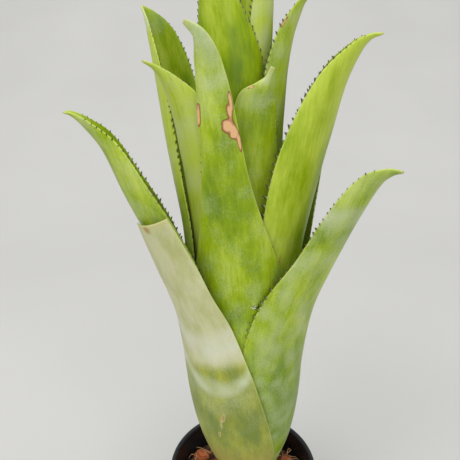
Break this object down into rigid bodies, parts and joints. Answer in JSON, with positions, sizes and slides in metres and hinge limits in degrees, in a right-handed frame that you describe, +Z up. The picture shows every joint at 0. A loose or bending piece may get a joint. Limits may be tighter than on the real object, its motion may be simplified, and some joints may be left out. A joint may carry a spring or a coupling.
{
  "type": "potted bromeliad",
  "caption": "Upright tank bromeliad with toothed, hook-tipped strap leaves rolled into a tube, standing in a round plastic nursery pot topped with husk chips.",
  "frame": {"origin": "centre of the pot's flat foot, on the surface it stands on", "axes": "+Z up through the plant, -Y towards the side with the cleft between the two lowest front leaves, +X to its right"},
  "size_m": [0.1578, 0.141, 0.4123],
  "materials": {
    "pot_plastic": "black moulded nursery plastic with a soft sheen",
    "coir_mix": "damp crumbly coir and bark fines",
    "husk": "torn coconut husk, fibrous and matt",
    "stem": "short scarred stem, green-brown and matt",
    "old_leaf": "dry papery leaf base, brown",
    "pale_leaf": "faded straw-green leaf with a waxy bloom",
    "green_leaf": "leathery yellow-green leaf, silvery scales in bands, dark margin teeth"
  },
  "bodies": {
    "root": {"pot": "pot_plastic", "potting_mix": "coir_mix", "husk_chip_1": "husk", "husk_chip_2": "husk", "husk_chip_3": "husk", "husk_chip_4": "husk", "husk_chip_5": "husk", "husk_chip_6": "husk", "husk_chip_7": "husk", "husk_chip_8": "husk", "husk_chip_9": "husk", "husk_chip_10": "husk", "husk_chip_11": "husk", "husk_chip_12": "husk", "husk_chip_13": "husk", "husk_chip_14": "husk", "husk_chip_15": "husk", "husk_chip_16": "husk", "husk_chip_17": "husk", "husk_chip_18": "husk", "husk_chip_19": "husk", "stem": "stem", "old_leaf_base": "old_leaf", "leaf_cut_pale": "pale_leaf", "leaf_front_right": "green_leaf", "leaf_left_low": "green_leaf", "leaf_back_low": "green_leaf", "leaf_front": "green_leaf", "leaf_back_left": "green_leaf", "leaf_back_right": "green_leaf", "leaf_left_mid": "green_leaf", "leaf_right": "green_leaf", "leaf_front_right_inner": "green_leaf", "leaf_right_inner": "green_leaf", "leaf_back_inner": "green_leaf", "leaf_centre_front": "green_leaf", "leaf_heart_back": "green_leaf", "leaf_heart": "green_leaf"}
  },
  "joints": []
}
